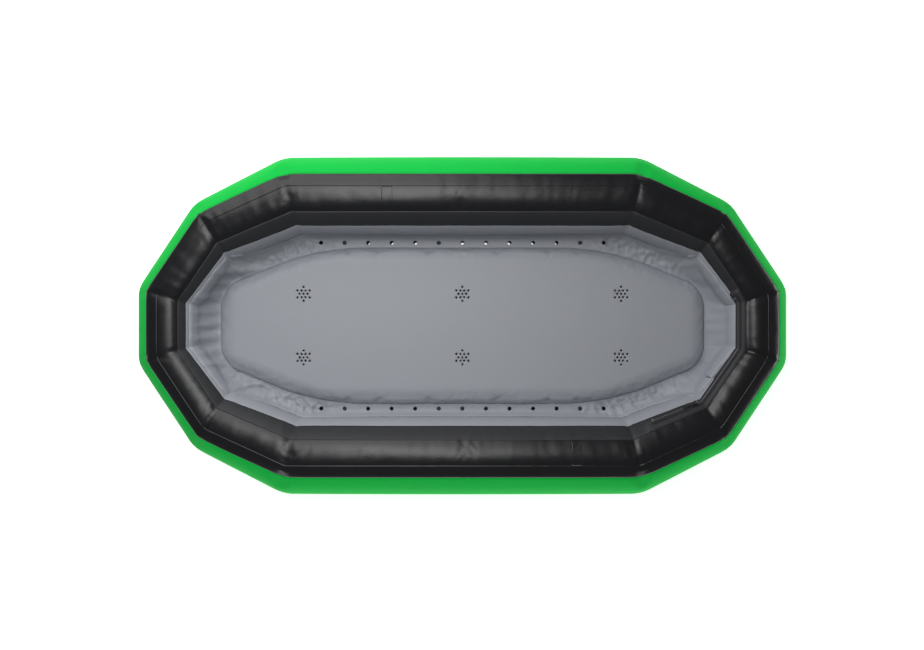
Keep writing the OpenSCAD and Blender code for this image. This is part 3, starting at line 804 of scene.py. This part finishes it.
# ---------------------------------------------------------------------------------------------
# Hull sheet. One dark grey sheet is welded under the whole ring. It is flat along the sides and
# lifts a little at bow and stern. It has a hole under each bail hole and drain, and one below
# the mat's valve.
hull_thick, hull_gap, hull_step = 0.0014, 0.0015, 0.02
port_width, access_width = 0.03, 0.11
hull = bmesh.new()
edge_points = [(*(np.array(tube_corners[k][0]) + tube_out[k] / 4), 0.0) for k in range(12)]
hull.faces.new([hull.verts.new(p) for p in edge_points])
for axis, reach in ((0, 0.94), (1, 0.44)):
    for k in range(int(2 * reach / hull_step)):
        cut_at = [0, 0, 0]
        facing = [0, 0, 0]
        cut_at[axis], facing[axis] = -reach + hull_step * k + 0.0013, 1
        bmesh.ops.bisect_plane(hull, geom=list(hull.verts) + list(hull.edges) + list(hull.faces),
                               plane_co=cut_at, plane_no=facing)
side_x = tube_quarter[2][0]
rise = [(side_x, 0.0), (tube_quarter[1][0], 0.019), (tube_quarter[0][0], 0.027)]
hull_flat_area = sum(f.calc_area() for f in hull.faces)
for v in hull.verts:
    lift_here = np.interp(abs(v.co.x), [p[0] for p in rise], [p[1] for p in rise])
    wave = noise.noise(Vector((v.co.x * 9, v.co.y * 14, 0.5))) * 0.0014
    middle = min(max(1 - abs(v.co.y) / 0.33, 0), 1)
    v.co.z = lift_here + hull_gap + hull_thick + wave * middle
hull_map = hull.loops.layers.uv.new("cloth")
for face in hull.faces:
    for loop in face.loops:
        loop[hull_map].uv = (loop.vert.co.x, loop.vert.co.y)
hull_cloth = piece_from("hull_sheet_cloth", hull, dark_coat)
wall = hull_cloth.modifiers.new("wall", "SOLIDIFY")
wall.thickness, wall.offset = hull_thick, -1.0
punched(hull_cloth, bail_holes, bail_width, -0.01, 0.04)
punched(hull_cloth, drain_centres, port_width, -0.01, 0.04)
punched(hull_cloth, [(valve_at.x, valve_at.y)], access_width, -0.01, 0.06)
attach(hull_cloth, "kayak")
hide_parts("hull_sheet")


# ---------------------------------------------------------------------------------------------
# Fittings from the frame. Plugs, valve parts, zip, tow loop, sleeves and threads keep their
# exact shapes and get their finishes here: moulded plastic, rubber, webbing, metal and film.
def moulded(name, colour, roughness, pit=0.2, specular=0.5):
    finish = Finish(name)
    here = finish.coordinates()
    cloud = finish.node("TexNoise", {}, {"Vector": here, "Scale": 40.0, "Detail": 4.0})
    grain = finish.node("TexNoise", {}, {"Vector": here, "Scale": 2600.0, "Detail": 2.0})
    tint = finish.mixed(cloud, (*[c * 0.75 for c in colour], 1), (*[min(c * 1.2, 1) for c in colour], 1))
    return finish.set(base_color=tint, roughness=(cloud - 0.5) * 0.2 + roughness,
                      normal=finish.bump(grain, pit, 0.0001), specular_ior_level=specular)


def woven_band(name, colour, pitch=0.0012):
    finish = Finish(name)
    parts = finish.tree.nodes.new("ShaderNodeSeparateXYZ")
    finish.tree.links.new(finish.coordinates().socket, parts.inputs[0])
    x, y, z = (Link(s) for s in parts.outputs)
    turns = 2 * pi / pitch
    rib = ((x + z) * turns).sine() * (y * turns).sine()
    fluff = finish.node("TexNoise", {}, {"Vector": finish.coordinates(), "Scale": 900.0, "Detail": 3.0})
    tint = finish.mixed(fluff, (*[c * 0.7 for c in colour], 1), (*[c * 1.4 for c in colour], 1))
    return finish.set(base_color=tint, roughness=0.8, normal=finish.bump(rib * 0.5 + fluff, 0.6, 0.0003))


def drawn_metal(name, colour, roughness):
    finish = Finish(name)
    here = finish.coordinates()
    scratch = finish.node("TexNoise", {}, {
        "Vector": finish.node("VectorMath", {"operation": "MULTIPLY"}, {0: here, 1: (60.0, 1500.0, 1500.0)}),
        "Scale": 1.0, "Detail": 3.0})
    tint = finish.mixed(scratch, (*[c * 0.8 for c in colour], 1), (*colour, 1))
    return finish.set(base_color=tint, metallic=1.0, roughness=scratch * 0.2 + roughness,
                      normal=finish.bump(scratch, 0.15, 0.0001))


plug_rubber = moulded("black_rubber", (0.012, 0.012, 0.013), 0.55)
valve_plastic = moulded("valve_plastic", (0.02, 0.02, 0.022), 0.38)
poppet_plastic = moulded("poppet_plastic", (0.03, 0.40, 0.07), 0.35)
flange_rubber = moulded("flange_rubber", (0.06, 0.062, 0.068), 0.6)
zip_plastic = moulded("zip_plastic", (0.11, 0.11, 0.12), 0.32)
zip_cloth = woven_band("zip_tape_cloth", (0.030, 0.030, 0.034), 0.0009)
loop_webbing = woven_band("loop_webbing", (0.025, 0.025, 0.027))
pull_cloth = woven_band("pull_webbing", (0.03, 0.03, 0.032))
spring_steel = drawn_metal("spring_steel", (0.62, 0.63, 0.65), 0.25)
zip_metal = drawn_metal("zip_metal", (0.25, 0.25, 0.27), 0.3)
sleeve_film = air_film("sleeve_film", (0.10, 0.105, 0.11))
thread_cloth = woven_band("drop_threads", (0.75, 0.75, 0.73), 0.0008)
node_finishes = {"mat_threads": thread_cloth, "zip_tape_upper": zip_cloth, "zip_tape_lower": zip_cloth,
                 "zip_teeth": zip_plastic, "zip_stop_end": zip_plastic, "zip_stop_side": zip_plastic,
                 "zip_slider": zip_metal, "zip_pull": pull_cloth, "tow_patch": patch_coat,
                 "tow_loop": loop_webbing}
for k in range(1, 7):
    node_finishes[f"drain_sleeve_{k}"] = sleeve_film
for k in range(1, 8):
    node_finishes[f"bail_plug_{k}"] = plug_rubber
for valve in ("tube", "mat"):
    for part, look in (("flange", flange_rubber), ("body", valve_plastic), ("poppet", poppet_plastic),
                       ("spring", spring_steel), ("seal", plug_rubber), ("tether", plug_rubber),
                       ("cap", valve_plastic)):
        node_finishes[f"{valve}_valve_{part}"] = look
for name, look in node_finishes.items():
    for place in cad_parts[name].material_slots:
        place.material = look
